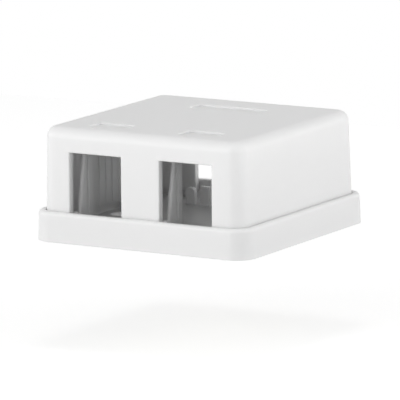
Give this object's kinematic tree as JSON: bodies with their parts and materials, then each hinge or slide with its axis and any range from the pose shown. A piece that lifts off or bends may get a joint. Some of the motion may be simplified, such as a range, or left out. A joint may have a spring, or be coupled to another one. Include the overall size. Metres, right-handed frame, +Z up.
{
  "type": "surface mount jack box",
  "caption": "Wall-mounted box for keystone network jacks: a drafted cover with port windows, label recesses and a rear cable entry, lifting off a rimmed base.",
  "frame": {"origin": "middle of the base's underside", "axes": "+Z up, away from the surface the box is fixed to; the port windows face -Y and the cable entry +Y; +X to the right seen from the ports"},
  "size_m": [0.0608, 0.0586, 0.028],
  "materials": {
    "white_plastic": "fine satin moulding, clean and unworn",
    "foam_tape": "closed-cell foam with a tacky face",
    "release_liner": "smooth waxy film"
  },
  "bodies": {
    "base_body": {"base": "white_plastic", "foam_pad_front": "foam_tape", "foam_pad_rear": "foam_tape", "liner_front": "release_liner", "liner_rear": "release_liner"},
    "cover_body": {"cover": "white_plastic"}
  },
  "joints": [
    {"name": "cover_lift", "type": "slide", "parent": "base_body", "child": "cover_body", "axis": [0, 0, 1], "range_m": [0, 0.03]}
  ]
}
